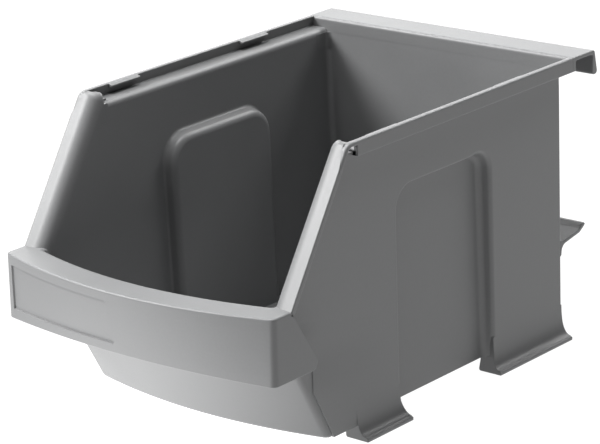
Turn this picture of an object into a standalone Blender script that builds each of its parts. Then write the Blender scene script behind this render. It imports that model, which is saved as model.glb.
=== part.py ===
"""Stackable storage bin: an open-front moulded bin that stacks on its feet and hangs by its rear hook.

Metres, +Z up. X runs across the bin, -Y is the open front, +Y is the rear with the hook, and the origin
is at the middle of the footprint, on the surface that the feet stand on. The real bin is one moulding.
Each working region of it is a solid of its own here, and regions that run into each other stop JOIN apart.
"""
import math

import bmesh
import bpy
from mathutils import Matrix, Vector

# Overall size
RIM_HALF_WIDTH = 0.0715
HEIGHT = 0.1250
FRONT_Y = -0.1110
JOIN = 0.0003

# Walls and floor
WALL = 0.0020
WALL_OUTER_X = 0.0626
WALL_INNER_X = WALL_OUTER_X - WALL
WALL_REAR_Y = 0.0937
BACK_WALL_FRONT_Y = 0.0914
FLOOR_UNDERSIDE = 0.0060
FLOOR_TOP = 0.0083

# Rim: a ledge steps outwards from the wall and a thin lip rises from its outer edge
LEDGE_UNDERSIDE = 0.1189
LEDGE_TOP = 0.1205
RIM_LIP_INNER_X = 0.0697
CHANNEL_FRONT_Y = -0.0468
CHANNEL_END_THICKNESS = 0.0016
RIM_BEAD_HEIGHT = 0.0024
RIM_CORNER_RADIUS = 0.0060

# Snap beads on the inner face of the rim lip
TAB_LENGTH = 0.0170
TAB_HEIGHT = 0.0018
TAB_DEPTH = 0.0011
TAB_MIDDLES = (("front", -0.0290), ("rear", 0.0510))

# Rear hook, and the catch low on the back wall
PLATE_UNDERSIDE = 0.1232
LIP_TOP_REAR_Y = 0.1076
HOOK_LIP_INNER_Y = 0.1056
HOOK_LIP_REAR_Y = 0.1090
HOOK_LIP_BOTTOM = 0.1146
CATCH_REAR_Y = 0.1110
CATCH_THICKNESS = 0.0018
CATCH_ROOT_Z = 0.0370
CATCH_SHELF_TOP = 0.0440
CATCH_TOP = 0.0472

# Slanted front edges of the side walls, and the label lip that they run down to
SLANT_TOP_Y = -0.0523
SLANT_FOOT_Y = -0.0888
FLANGE_THICKNESS = 0.0022
FLANGE_HEAD_RADIUS = 0.0045
LABEL_TOP_Z = 0.0692
LABEL_BOTTOM_Z = 0.0422
LABEL_END_Y = -0.0990
LABEL_TOP_BOW = LABEL_END_Y - FRONT_Y
LABEL_BOTTOM_BOW = 0.0062
LABEL_BOTTOM_SET_OUT = 0.0013
LABEL_WALL = 0.0020
LABEL_REAR_Y = -0.0862
POCKET_X = (-0.0674, -0.0055)
POCKET_Z = (0.0465, 0.0648)
POCKET_DEPTH = 0.0007

# Low front wall: bowed in plan, leaning forwards towards its top
FRONT_WALL_FOOT_Y = -0.0605
FRONT_WALL_BOW = 0.0080
FRONT_WALL_LEAN = 0.512
FRONT_WALL_THICKNESS = 0.0024
BOW_STEPS = 24

# Stacking recess in each side wall
RECESS_FRONT_Y = -0.0156
RECESS_REAR_Y = 0.0448
RECESS_TOP_Z = 0.0964
RECESS_RADIUS = 0.0100
RECESS_OUTER_X = 0.0572
RECESS_WALL = 0.0020

# Feet: runners that flare outwards to a bead
FOOT_INNER_X = 0.0560
FOOT_OUTER_X = 0.0675
FOOT_BEAD_HEIGHT = 0.0016
FOOT_FLARE_TOP = 0.0100
FOOT_RANGES = (("front", (-0.0437, -0.0153)), ("rear", (0.0423, 0.0930)))

# Finish
GREY = (0.215, 0.218, 0.222, 1.0)
ROUGHNESS = 0.42

SIDES = (("left", -1.0), ("right", 1.0))


def clear_scene():
    """Take out whatever the file opened with."""
    for item in list(bpy.data.objects):
        bpy.data.objects.remove(item, do_unlink=True)


def make_collection(name):
    """A collection linked to the scene."""
    made = bpy.data.collections.new(name)
    bpy.context.scene.collection.children.link(made)
    return made


def plastic(name):
    """The bin's satin grey polypropylene, as a material of the piece's own."""
    made = bpy.data.materials.new(name + "_plastic")
    made.use_nodes = True
    surface = made.node_tree.nodes["Principled BSDF"]
    surface.inputs["Base Color"].default_value = GREY
    surface.inputs["Roughness"].default_value = ROUGHNESS
    surface.inputs["Metallic"].default_value = 0.0
    return made


def arc(middle, radius, start, end, steps=6):
    """Points along a circle from one angle to another, in degrees."""
    points = []
    for step in range(steps + 1):
        angle = math.radians(start + (end - start) * step / steps)
        points.append((middle[0] + radius * math.cos(angle), middle[1] + radius * math.sin(angle)))
    return points


def spread(start, end, steps):
    """Evenly spaced values from start to end, both included."""
    return [start + (end - start) * step / steps for step in range(steps + 1)]


def mirrored(points, sign):
    """An outline's points with their first coordinate on the side asked for."""
    return [(sign * first, second) for first, second in points]


def outward(mesh, merge=0.00001):
    """Weld a mesh's doubled corners and turn its faces outwards."""
    shape = bmesh.new()
    shape.from_mesh(mesh)
    bmesh.ops.remove_doubles(shape, verts=shape.verts, dist=merge)
    bmesh.ops.recalc_face_normals(shape, faces=shape.faces)
    shape.to_mesh(mesh)
    shape.free()


def drawn_outline(name, points, thickness):
    """A filled 2D curve, extruded evenly to both sides of Z = 0, turned into a closed mesh."""
    flat = bpy.data.curves.new(name + "_outline", "CURVE")
    flat.dimensions = "2D"
    flat.fill_mode = "BOTH"
    flat.extrude = thickness / 2
    spline = flat.splines.new("POLY")
    spline.points.add(len(points) - 1)
    for corner, (first, second) in zip(spline.points, points):
        corner.co = (first, second, 0.0, 1.0)
    spline.use_cyclic_u = True
    drawing = bpy.data.objects.new(name + "_outline", flat)
    bpy.context.scene.collection.objects.link(drawing)
    evaluated = drawing.evaluated_get(bpy.context.evaluated_depsgraph_get())
    mesh = bpy.data.meshes.new_from_object(evaluated)
    bpy.data.objects.remove(drawing, do_unlink=True)
    bpy.data.curves.remove(flat)
    mesh.name = name
    return mesh


def add_piece(name, mesh, home):
    """Put a finished mesh in the scene as a named piece with its own plastic."""
    outward(mesh)
    mesh.materials.clear()
    mesh.materials.append(plastic(name))
    made = bpy.data.objects.new(name, mesh)
    home.objects.link(made)
    return made


def across(name, points, x_range, home):
    """A piece drawn in Y and Z that spans a range of X."""
    mesh = drawn_outline(name, points, abs(x_range[1] - x_range[0]))
    turn = Matrix(((0, 0, 1), (1, 0, 0), (0, 1, 0))).to_4x4()
    mesh.transform(Matrix.Translation((sum(x_range) / 2, 0, 0)) @ turn)
    return add_piece(name, mesh, home)


def along(name, points, y_range, home):
    """A piece drawn in X and Z that spans a range of Y."""
    mesh = drawn_outline(name, points, y_range[1] - y_range[0])
    turn = Matrix(((1, 0, 0), (0, 0, -1), (0, 1, 0))).to_4x4()
    mesh.transform(Matrix.Translation((0, sum(y_range) / 2, 0)) @ turn)
    return add_piece(name, mesh, home)


def upright(name, points, z_range, home):
    """A piece drawn in X and Y that spans a range of Z."""
    mesh = drawn_outline(name, points, z_range[1] - z_range[0])
    mesh.transform(Matrix.Translation((0, 0, sum(z_range) / 2)))
    return add_piece(name, mesh, home)


def block(name, x_range, y_range, z_range, home):
    """A piece with six flat sides between three pairs of limits."""
    shape = bmesh.new()
    bmesh.ops.create_cube(shape, size=1.0)
    size = (abs(x_range[1] - x_range[0]), y_range[1] - y_range[0], z_range[1] - z_range[0])
    bmesh.ops.scale(shape, vec=size, verts=shape.verts)
    middle = (sum(x_range) / 2, sum(y_range) / 2, sum(z_range) / 2)
    bmesh.ops.translate(shape, vec=middle, verts=shape.verts)
    mesh = bpy.data.meshes.new(name)
    shape.to_mesh(mesh)
    shape.free()
    return add_piece(name, mesh, home)


def soften(piece, width, segments=2):
    """Round the piece's sharp edges."""
    bevel = piece.modifiers.new("rounded_edges", "BEVEL")
    bevel.width = width
    bevel.segments = segments
    bevel.limit_method = "ANGLE"
    bevel.angle_limit = math.radians(40.0)
    piece.data.shade_smooth()
    piece.data.set_sharp_from_angle(angle=math.radians(35.0))


def cut(piece, cutter):
    """Cut one piece with another, which stays behind as a hidden wire shape."""
    cutter.hide_render = True
    cutter.display_type = "WIRE"
    boolean = piece.modifiers.new("cut_" + cutter.name, "BOOLEAN")
    boolean.operation = "DIFFERENCE"
    boolean.solver = "EXACT"
    boolean.object = cutter


def slant_y(z):
    """Y of the slanted edge's outer front face at a height."""
    share = (HEIGHT - z) / (HEIGHT - LABEL_TOP_Z)
    return SLANT_TOP_Y + (SLANT_FOOT_Y - SLANT_TOP_Y) * share


def behind_flange(z):
    """Y just behind the flange's back face at a height."""
    rise = HEIGHT - LABEL_TOP_Z
    slope_length = math.hypot(rise, SLANT_TOP_Y - SLANT_FOOT_Y)
    return slant_y(z) + FLANGE_THICKNESS * slope_length / rise + JOIN


def front_wall_y(x, z):
    """Y of the low front wall's outer face."""
    bow = FRONT_WALL_BOW * (1.0 - (x / WALL_OUTER_X) ** 2)
    return FRONT_WALL_FOOT_Y - bow - FRONT_WALL_LEAN * (z - FLOOR_UNDERSIDE)


def label_y(x, z):
    """Y of the label lip's outer face, more bowed at its top than at its bottom."""
    share = (z - LABEL_BOTTOM_Z) / (LABEL_TOP_Z - LABEL_BOTTOM_Z)
    end = LABEL_END_Y - LABEL_BOTTOM_SET_OUT * (1.0 - share)
    bow = LABEL_BOTTOM_BOW + (LABEL_TOP_BOW - LABEL_BOTTOM_BOW) * share
    return end - bow * (1.0 - (x / RIM_HALF_WIDTH) ** 2)


def bent_block(name, x_range, depths, z_range, face, home):
    """An upright block, cut into steps along X, whose front follows a bowed face."""
    shape = bmesh.new()
    bmesh.ops.create_cube(shape, size=1.0)
    size = (x_range[1] - x_range[0], depths[1] - depths[0], z_range[1] - z_range[0])
    bmesh.ops.scale(shape, vec=size, verts=shape.verts)
    middle = (sum(x_range) / 2, sum(depths) / 2, sum(z_range) / 2)
    bmesh.ops.translate(shape, vec=middle, verts=shape.verts)
    lengthwise = [edge for edge in shape.edges if edge.verts[0].co.x != edge.verts[1].co.x]
    bmesh.ops.subdivide_edges(shape, edges=lengthwise, cuts=BOW_STEPS - 1, use_grid_fill=True)
    for corner in shape.verts:
        corner.co.y += face(corner.co.x, corner.co.z)
    mesh = bpy.data.meshes.new(name)
    shape.to_mesh(mesh)
    shape.free()
    return add_piece(name, mesh, home)


def make_floor(home):
    """Flat bottom, bowed in front and notched beside each recess."""
    edge = WALL_INNER_X - JOIN
    inner = RECESS_OUTER_X - RECESS_WALL - JOIN
    notch_front = RECESS_FRONT_Y - RECESS_WALL - JOIN
    notch_rear = RECESS_REAR_Y + RECESS_WALL + JOIN
    rear = BACK_WALL_FRONT_Y - JOIN
    front_gap = FRONT_WALL_THICKNESS + JOIN
    side = [(edge, notch_front), (inner, notch_front), (inner, notch_rear), (edge, notch_rear), (edge, rear)]
    points = [(x, front_wall_y(x, FLOOR_UNDERSIDE) + front_gap) for x in spread(-edge, edge, BOW_STEPS)]
    points += side
    points += mirrored(reversed(side), -1.0)
    upright("floor_pan", points, (FLOOR_UNDERSIDE, FLOOR_TOP), home)


def make_side_wall(ending, sign, home):
    """Long wall with a slanted front edge and a bite in its bottom edge for the recess."""
    under_label = LABEL_TOP_Z - LABEL_WALL - JOIN
    set_back = FRONT_WALL_THICKNESS + JOIN
    front_edge = FRONT_WALL_FOOT_Y + set_back
    knee_y = front_edge - FRONT_WALL_LEAN * (under_label - FLOOR_UNDERSIDE)
    radius = RECESS_RADIUS
    top = LEDGE_UNDERSIDE - JOIN
    crest = PLATE_UNDERSIDE
    step_y = CHANNEL_FRONT_Y + CHANNEL_END_THICKNESS
    points = [(front_edge, FLOOR_UNDERSIDE), (knee_y, under_label), (LABEL_REAR_Y + JOIN, under_label)]
    points += [(behind_flange(LABEL_TOP_Z), LABEL_TOP_Z), (behind_flange(crest), crest), (step_y, crest)]
    points += [(step_y, top), (WALL_REAR_Y, top), (WALL_REAR_Y, FLOOR_UNDERSIDE)]
    points += [(RECESS_REAR_Y, FLOOR_UNDERSIDE)]
    points += arc((RECESS_REAR_Y - radius, RECESS_TOP_Z - radius), radius, 0, 90)
    points += arc((RECESS_FRONT_Y + radius, RECESS_TOP_Z - radius), radius, 90, 180)
    points += [(RECESS_FRONT_Y, FLOOR_UNDERSIDE)]
    across("side_wall_" + ending, points, (sign * WALL_INNER_X, sign * WALL_OUTER_X), home)


def recess_outline(margin, bottom):
    """Inverted U of the recess, widened by a margin, open towards the floor."""
    radius = RECESS_RADIUS + margin
    front = RECESS_FRONT_Y - margin
    rear = RECESS_REAR_Y + margin
    top = RECESS_TOP_Z + margin
    points = [(front, bottom), (rear, bottom)]
    points += arc((rear - radius, top - radius), radius, 0, 90)
    points += arc((front + radius, top - radius), radius, 90, 180)
    return points


def make_recess(ending, sign, home, cutters):
    """Shallow tray behind the side wall's bite, open outwards and downwards."""
    inner = RECESS_OUTER_X - RECESS_WALL
    rim = WALL_INNER_X - JOIN
    tray = across("recess_" + ending, recess_outline(RECESS_WALL, FLOOR_UNDERSIDE), (sign * inner, sign * rim), home)
    below = FLOOR_UNDERSIDE - RECESS_WALL
    hollow_x = (sign * RECESS_OUTER_X, sign * (rim + RECESS_WALL))
    hollow = across("recess_hollow_" + ending, recess_outline(0.0, below), hollow_x, cutters)
    cut(tray, hollow)


def make_back_wall(home):
    """Back wall, widened above the side walls to close the rear ends of the rim."""
    edge = WALL_INNER_X - JOIN
    shoulder = LEDGE_UNDERSIDE
    side = [(edge, FLOOR_UNDERSIDE), (edge, shoulder), (RIM_HALF_WIDTH, shoulder), (RIM_HALF_WIDTH, HEIGHT)]
    points = side + mirrored(reversed(side), -1.0)
    along("back_wall", points, (BACK_WALL_FRONT_Y, WALL_REAR_Y), home)


def make_front_wall(home):
    """Low front wall across the whole width, in front of the side walls."""
    top = LABEL_TOP_Z - LABEL_WALL - JOIN
    span = (-WALL_OUTER_X, WALL_OUTER_X)
    depths = (0.0, FRONT_WALL_THICKNESS)
    bent_block("front_wall", span, depths, (FLOOR_UNDERSIDE, top), front_wall_y, home)


def make_label_lip(home, cutters):
    """Lip around the low front opening: bowed label face, flat top and two cheeks."""
    under_top = LABEL_TOP_Z - LABEL_WALL
    face_z = (LABEL_BOTTOM_Z, under_top - JOIN)
    span = (-RIM_HALF_WIDTH, RIM_HALF_WIDTH)
    face = bent_block("label_face", span, (0.0, LABEL_WALL), face_z, label_y, home)
    pocket_depths = (-LABEL_WALL, POCKET_DEPTH)
    pocket = bent_block("label_pocket", POCKET_X, pocket_depths, POCKET_Z, label_y, cutters)
    cut(face, pocket)
    inner_x = WALL_INNER_X
    behind_wall = FRONT_WALL_THICKNESS + LABEL_WALL * FRONT_WALL_LEAN
    front = [(x, label_y(x, LABEL_TOP_Z)) for x in spread(span[0], span[1], BOW_STEPS)]
    rear = [(x, front_wall_y(x, LABEL_TOP_Z) + behind_wall) for x in spread(inner_x, -inner_x, BOW_STEPS)]
    corner = [(RIM_HALF_WIDTH, LABEL_REAR_Y), (inner_x, LABEL_REAR_Y)]
    points = front + corner + rear + mirrored(reversed(corner), -1.0)
    upright("label_top", points, (under_top, LABEL_TOP_Z), home)
    cheek_front = LABEL_END_Y + LABEL_WALL + JOIN
    lean = FRONT_WALL_LEAN * (face_z[1] - face_z[0])
    cheek_top_rear = LABEL_REAR_Y - FRONT_WALL_LEAN * LABEL_WALL
    outline = [(cheek_front, face_z[0]), (cheek_top_rear + lean, face_z[0])]
    outline += [(cheek_top_rear, face_z[1]), (cheek_front, face_z[1])]
    for ending, sign in SIDES:
        limits = (sign * (RIM_HALF_WIDTH - LABEL_WALL), sign * RIM_HALF_WIDTH)
        across("label_cheek_" + ending, outline, limits, home)


def make_flange(ending, sign, home):
    """Slanted edge turned outwards: a flat strip with a round inner corner at its head."""
    rise = HEIGHT - LABEL_TOP_Z
    run = SLANT_TOP_Y - SLANT_FOOT_Y
    length = math.hypot(rise, run)
    radius = FLANGE_HEAD_RADIUS
    below = FLANGE_THICKNESS
    points = [(WALL_INNER_X, -below), (RIM_HALF_WIDTH, -below), (RIM_HALF_WIDTH, length)]
    points += arc((WALL_INNER_X + radius, length - radius), radius, 90, 180)
    name = "flange_" + ending
    mesh = drawn_outline(name, mirrored(points, sign), FLANGE_THICKNESS)
    uphill = Vector((0, run / length, rise / length))
    normal = Vector((1, 0, 0)).cross(uphill)
    turn = Matrix(((1, 0, 0), uphill, normal)).transposed().to_4x4()
    foot = Vector((0, SLANT_FOOT_Y, LABEL_TOP_Z)) + normal * (-FLANGE_THICKNESS / 2)
    mesh.transform(Matrix.Translation(foot) @ turn)
    trim = bmesh.new()
    trim.from_mesh(mesh)
    bmesh.ops.remove_doubles(trim, verts=trim.verts, dist=0.00001)
    everything = trim.verts[:] + trim.edges[:] + trim.faces[:]
    level = (0, 0, LABEL_TOP_Z + JOIN)
    bmesh.ops.bisect_plane(trim, geom=everything, plane_co=level, plane_no=(0, 0, 1), clear_inner=True)
    open_edges = [edge for edge in trim.edges if edge.is_boundary]
    bmesh.ops.holes_fill(trim, edges=open_edges)
    trim.to_mesh(mesh)
    trim.free()
    flange = add_piece(name, mesh, home)
    soften(flange, 0.0006)


def make_rim(ending, sign, home):
    """Ledge, outer lip and front end of the stacking step along one side."""
    rear = BACK_WALL_FRONT_Y - JOIN
    end_rear = CHANNEL_FRONT_Y + CHANNEL_END_THICKNESS
    lip_x = (sign * RIM_LIP_INNER_X, sign * RIM_HALF_WIDTH)
    ledge_x = (sign * WALL_INNER_X, sign * (RIM_LIP_INNER_X - JOIN))
    block("rim_ledge_" + ending, ledge_x, (end_rear + JOIN, rear), (LEDGE_UNDERSIDE, LEDGE_TOP), home)
    end_x = (sign * (WALL_OUTER_X + JOIN), sign * (RIM_LIP_INNER_X - JOIN))
    end_z = (LEDGE_UNDERSIDE, PLATE_UNDERSIDE)
    block("rim_end_" + ending, end_x, (CHANNEL_FRONT_Y, end_rear), end_z, home)
    radius = RIM_CORNER_RADIUS
    bead_z = HEIGHT - RIM_BEAD_HEIGHT
    bend = arc((behind_flange(bead_z) + radius, HEIGHT - radius), radius, 90, 145, 4)
    points = [(CHANNEL_FRONT_Y, LEDGE_UNDERSIDE), (rear, LEDGE_UNDERSIDE), (rear, HEIGHT)]
    points += bend
    points += [(behind_flange(bead_z), bead_z), (CHANNEL_FRONT_Y, bead_z)]
    across("rim_lip_" + ending, points, lip_x, home)


def make_tabs(ending, sign, home):
    """Snap beads with a slanted top on the inner face of the rim lip."""
    base = RIM_LIP_INNER_X - JOIN
    top = HEIGHT - JOIN
    bottom = top - TAB_HEIGHT
    nose = bottom + TAB_HEIGHT / 3
    outline = [(base, bottom), (base, top), (base - TAB_DEPTH, nose), (base - TAB_DEPTH, bottom)]
    for place, middle in TAB_MIDDLES:
        limits = (middle - TAB_LENGTH / 2, middle + TAB_LENGTH / 2)
        along("tab_" + ending + "_" + place, mirrored(outline, sign), limits, home)


def make_hook(home):
    """Top plate that reaches back from the back wall, and the lip that hangs down at its rear edge."""
    limits = (-RIM_HALF_WIDTH, RIM_HALF_WIDTH)
    plate_y = (WALL_REAR_Y + JOIN, HOOK_LIP_INNER_Y - JOIN)
    block("hook_plate", limits, plate_y, (PLATE_UNDERSIDE, HEIGHT), home)
    toe = HOOK_LIP_REAR_Y - HOOK_LIP_INNER_Y
    points = [(HOOK_LIP_INNER_Y, HEIGHT), (HOOK_LIP_INNER_Y, HOOK_LIP_BOTTOM)]
    points += arc((HOOK_LIP_REAR_Y - toe / 2, HOOK_LIP_BOTTOM + toe / 2), toe / 2, -90, 0, 4)
    points += [(LIP_TOP_REAR_Y, HEIGHT)]
    across("hook_lip", points, limits, home)


def make_catch(home):
    """Shelf low on the back wall that turns up at its rear edge."""
    root_y = WALL_REAR_Y + JOIN
    shelf_bottom = CATCH_SHELF_TOP - CATCH_THICKNESS
    sweep = shelf_bottom - CATCH_ROOT_Z
    turn = CATCH_TOP - CATCH_SHELF_TOP
    bend_y = CATCH_REAR_Y - turn - CATCH_THICKNESS
    points = [(root_y, CATCH_ROOT_Z)]
    points += arc((root_y + sweep, CATCH_ROOT_Z), sweep, 180, 90)[1:]
    points += arc((bend_y, CATCH_TOP), turn + CATCH_THICKNESS, -90, 0)
    points += arc((bend_y, CATCH_TOP), turn, 0, -90)
    points += [(root_y, CATCH_SHELF_TOP)]
    across("wall_catch", points, (-WALL_OUTER_X, WALL_OUTER_X), home)


def make_feet(ending, sign, home):
    """Runners under the wall whose outer face flares in a hollow curve down to a bead."""
    top = FLOOR_UNDERSIDE - JOIN
    start_x = WALL_OUTER_X + JOIN
    reach = FOOT_OUTER_X - start_x
    drop = FOOT_FLARE_TOP - FOOT_BEAD_HEIGHT
    flare = []
    for step in range(7):
        angle = math.radians(90.0 * step / 7)
        flare.append((FOOT_OUTER_X - reach * math.cos(angle), FOOT_FLARE_TOP - drop * math.sin(angle)))
    points = [(FOOT_INNER_X, 0.0), (FOOT_INNER_X, top), (start_x, top)]
    points += flare
    points += [(FOOT_OUTER_X, FOOT_BEAD_HEIGHT), (FOOT_OUTER_X, 0.0)]
    for place, limits in FOOT_RANGES:
        along("foot_" + place + "_" + ending, mirrored(points, sign), limits, home)


def build():
    """Make the whole bin."""
    clear_scene()
    home = make_collection("storage_bin")
    cutters = make_collection("cutters")
    make_floor(home)
    make_back_wall(home)
    make_front_wall(home)
    make_label_lip(home, cutters)
    make_hook(home)
    make_catch(home)
    for ending, sign in SIDES:
        make_side_wall(ending, sign, home)
        make_recess(ending, sign, home, cutters)
        make_flange(ending, sign, home)
        make_rim(ending, sign, home)
        make_tabs(ending, sign, home)
        make_feet(ending, sign, home)


build()
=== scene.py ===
"""Stackable storage bin: the looks of the moulding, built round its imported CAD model.

The real bin is one moulding in grey polypropylene, so neighbouring regions meet flush here. Shapes are worked
out in millimetres and go into their meshes in metres: X across the bin, -Y its open front, +Z up.
"""

import math

import bmesh
import bpy
import numpy as np
from mathutils import Matrix, Vector


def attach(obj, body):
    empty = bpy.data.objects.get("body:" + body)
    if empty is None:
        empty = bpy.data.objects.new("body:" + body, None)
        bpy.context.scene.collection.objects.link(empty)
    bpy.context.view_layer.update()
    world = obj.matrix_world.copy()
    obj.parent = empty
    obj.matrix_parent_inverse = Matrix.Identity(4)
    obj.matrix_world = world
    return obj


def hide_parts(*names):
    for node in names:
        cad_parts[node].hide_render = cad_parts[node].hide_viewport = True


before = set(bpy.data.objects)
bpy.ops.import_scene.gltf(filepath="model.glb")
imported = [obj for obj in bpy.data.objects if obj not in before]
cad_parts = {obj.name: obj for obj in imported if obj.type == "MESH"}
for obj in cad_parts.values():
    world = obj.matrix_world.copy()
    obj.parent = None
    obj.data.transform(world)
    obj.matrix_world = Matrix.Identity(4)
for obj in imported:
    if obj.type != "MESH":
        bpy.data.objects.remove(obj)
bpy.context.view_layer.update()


# Camera: a long lens from the front right, a little above the rim, as small goods are usually shown.
# It leans a touch to one side, and its small shift sets the framing.
camera_place = np.array([0.7414, -0.8311, 0.4321])
camera_turn = math.radians(40.96)
camera_rise = math.radians(18.18)
camera_lean = math.radians(-2.67)
camera_back = np.array([
    math.sin(camera_turn) * math.cos(camera_rise),
    -math.cos(camera_turn) * math.cos(camera_rise),
    math.sin(camera_rise),
])
level_right = np.cross(-camera_back, [0.0, 0.0, 1.0])
level_right = level_right / np.linalg.norm(level_right)
level_up = np.cross(level_right, -camera_back)
lean_right = math.cos(camera_lean) * level_right + math.sin(camera_lean) * level_up
lean_up = math.cos(camera_lean) * level_up - math.sin(camera_lean) * level_right
lens = bpy.data.cameras.new("long_lens")
lens.sensor_fit = "HORIZONTAL"
lens.sensor_width = 36.0
lens.lens = 171.5
lens.shift_x = -0.0658
lens.shift_y = -0.0007
lens.clip_start = 0.05
lens.clip_end = 60.0
camera = bpy.data.objects.new("long_lens", lens)
bpy.context.scene.collection.objects.link(camera)
axes = np.eye(4)
axes[:3, 0] = lean_right
axes[:3, 1] = lean_up
axes[:3, 2] = camera_back
axes[:3, 3] = camera_place
camera.matrix_world = Matrix(axes.tolist())
bpy.context.scene.camera = camera


# Studio: a glowing white table, brightest in a spot under the front of the bin, under six soft boxes.
# It stands for the white table and reflectors of a catalogue set, and isn't part of the bin.
WHITE = (1.0, 1.0, 1.0, 1.0)
TABLE_RADIUS = 8.0
TABLE_DROP = 0.00005
TABLE_RINGS = 23
TABLE_SIDES = 96
GLOW_MIDDLE = (-0.04, -0.14, 0.0)
GLOW_NEAR = 0.02
GLOW_FAR = 0.16

radii = np.linspace(0.0, 1.0, TABLE_RINGS + 1)[1:] ** 2 * TABLE_RADIUS
turns = np.linspace(0.0, 2.0 * math.pi, TABLE_SIDES + 1)[:-1]
table_level = np.full((TABLE_RINGS, TABLE_SIDES), -TABLE_DROP)
table_points = np.dstack([np.outer(radii, np.cos(turns)), np.outer(radii, np.sin(turns)), table_level])
step = np.arange(TABLE_RINGS - 1)[:, None] * TABLE_SIDES
further = step + TABLE_SIDES
here = np.arange(TABLE_SIDES)[None, :]
ahead = (here + 1) % TABLE_SIDES
table_faces = np.stack([step + here, further + here, further + ahead, step + ahead], axis=-1)
table_faces = table_faces.reshape(-1, 4).tolist() + [list(range(TABLE_SIDES))]
table_mesh = bpy.data.meshes.new("white_table")
table_mesh.from_pydata(table_points.reshape(-1, 3).tolist(), [], table_faces)
table = bpy.data.objects.new("white_table", table_mesh)
bpy.context.scene.collection.objects.link(table)


class Flow:
    """A socket in a material's nodes. Sums and products of flows add Math nodes; make() adds any other."""

    def __init__(self, tree, socket=None):
        self.tree = tree
        self.socket = socket

    def make(self, kind, settings=None, inputs=None, output=0):
        """Add a node: its settings first, then the values or flows of its sockets."""
        node = self.tree.nodes.new(kind)
        for name, value in (settings or {}).items():
            setattr(node, name, value)
        for name, value in (inputs or {}).items():
            if isinstance(value, Flow):
                self.tree.links.new(value.socket, node.inputs[name])
            else:
                node.inputs[name].default_value = value
        return Flow(self.tree, node.outputs[output])

    def maths(self, operation, first, second):
        """A Math node on two flows or numbers."""
        return self.make("ShaderNodeMath", {"operation": operation}, {0: first, 1: second})

    def __add__(self, other):
        return self.maths("ADD", self, other)

    def __radd__(self, other):
        return self.maths("ADD", other, self)

    def __sub__(self, other):
        return self.maths("SUBTRACT", self, other)

    def __rsub__(self, other):
        return self.maths("SUBTRACT", other, self)

    def __mul__(self, other):
        return self.maths("MULTIPLY", self, other)

    def __rmul__(self, other):
        return self.maths("MULTIPLY", other, self)


table_finish = bpy.data.materials.new("glowing_white")
table_finish.use_nodes = True
table_nodes = table_finish.node_tree
surface = table_nodes.nodes["Principled BSDF"]
surface.inputs["Base Color"].default_value = (0.05, 0.05, 0.05, 1.0)
surface.inputs["Roughness"].default_value = 0.9
surface.inputs["Specular IOR Level"].default_value = 0.1
surface.inputs["Emission Strength"].default_value = 1.0
flow = Flow(table_nodes)
spot = flow.make("ShaderNodeTexCoord", output="Object")
between = {0: spot, 1: GLOW_MIDDLE}
away = flow.make("ShaderNodeVectorMath", {"operation": "DISTANCE"}, between, output="Value")
fading = {"Value": away, "From Min": GLOW_NEAR, "From Max": GLOW_FAR, "To Min": 1.0, "To Max": 0.0}
glow = 1.0 + 2.0 * flow.make("ShaderNodeMapRange", {"interpolation_type": "SMOOTHSTEP"}, fading)
glowing = flow.make("ShaderNodeVectorMath", {"operation": "SCALE"}, {0: WHITE[:3], "Scale": glow})
table_nodes.links.new(glowing.socket, surface.inputs["Emission Color"])
table_mesh.materials.append(table_finish)

world = bpy.data.worlds.new("studio")
bpy.context.scene.world = world
world.use_nodes = True
world.node_tree.nodes.clear()
air = Flow(world.node_tree)
seen = air.make("ShaderNodeBackground", None, {"Color": WHITE, "Strength": 1.0})
around = air.make("ShaderNodeBackground", None, {"Color": WHITE, "Strength": 0.004})
direct = air.make("ShaderNodeLightPath", output="Is Camera Ray")
mixed = air.make("ShaderNodeMixShader", None, {0: direct, 1: around, 2: seen})
world_out = world.node_tree.nodes.new("ShaderNodeOutputWorld")
world.node_tree.links.new(mixed.socket, world_out.inputs["Surface"])
bpy.context.scene.view_settings.view_transform = "Standard"

# Each soft box: name, place, the point that it faces, width, height and power
BIN_MIDDLE = (0.0, -0.02, 0.10)
SOFT_BOXES = (
    ("key_front_box", (-0.80, -0.75, 0.95), BIN_MIDDLE, 0.55, 0.55, 29.0),
    ("key_rear_box", (-0.95, 0.20, 0.98), BIN_MIDDLE, 0.55, 0.55, 8.0),
    ("overhead_box", (-0.10, -0.10, 1.30), BIN_MIDDLE, 0.60, 0.60, 17.0),
    ("rear_top_box", (0.10, 0.85, 0.95), BIN_MIDDLE, 0.90, 0.40, 10.0),
    ("back_reflector", (-1.00, 1.15, 0.50), (0.0, 0.0, 0.10), 1.20, 0.70, 7.0),
    ("front_box", (-0.85, -1.05, 0.16), (0.0, -0.08, 0.05), 0.50, 0.22, 3.0),
)
for name, place, target, width, height, power in SOFT_BOXES:
    lamp = bpy.data.lights.new(name, "AREA")
    lamp.shape = "RECTANGLE"
    lamp.size = width
    lamp.size_y = height
    lamp.energy = power
    box = bpy.data.objects.new(name, lamp)
    bpy.context.scene.collection.objects.link(box)
    aim = Vector(target) - Vector(place)
    box.matrix_world = Matrix.Translation(place) @ aim.to_track_quat("-Z", "Y").to_matrix().to_4x4()
    box.visible_camera = False


# Plastic: grey polypropylene, satin, with the fine spark-eroded grain that the mould leaves on every face.
# Flow of the melt leaves broad faint clouds in its colour and gloss.
GREY_DEEP = (0.150, 0.152, 0.154, 1.0)
GREY_PALE = (0.172, 0.174, 0.176, 1.0)
FINE_SCALE = 2600.0
COARSE_SCALE = 900.0
CLOUD_SCALE = 26.0
GRAIN_STRENGTH = 0.35
GRAIN_DEPTH = 0.00012


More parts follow.
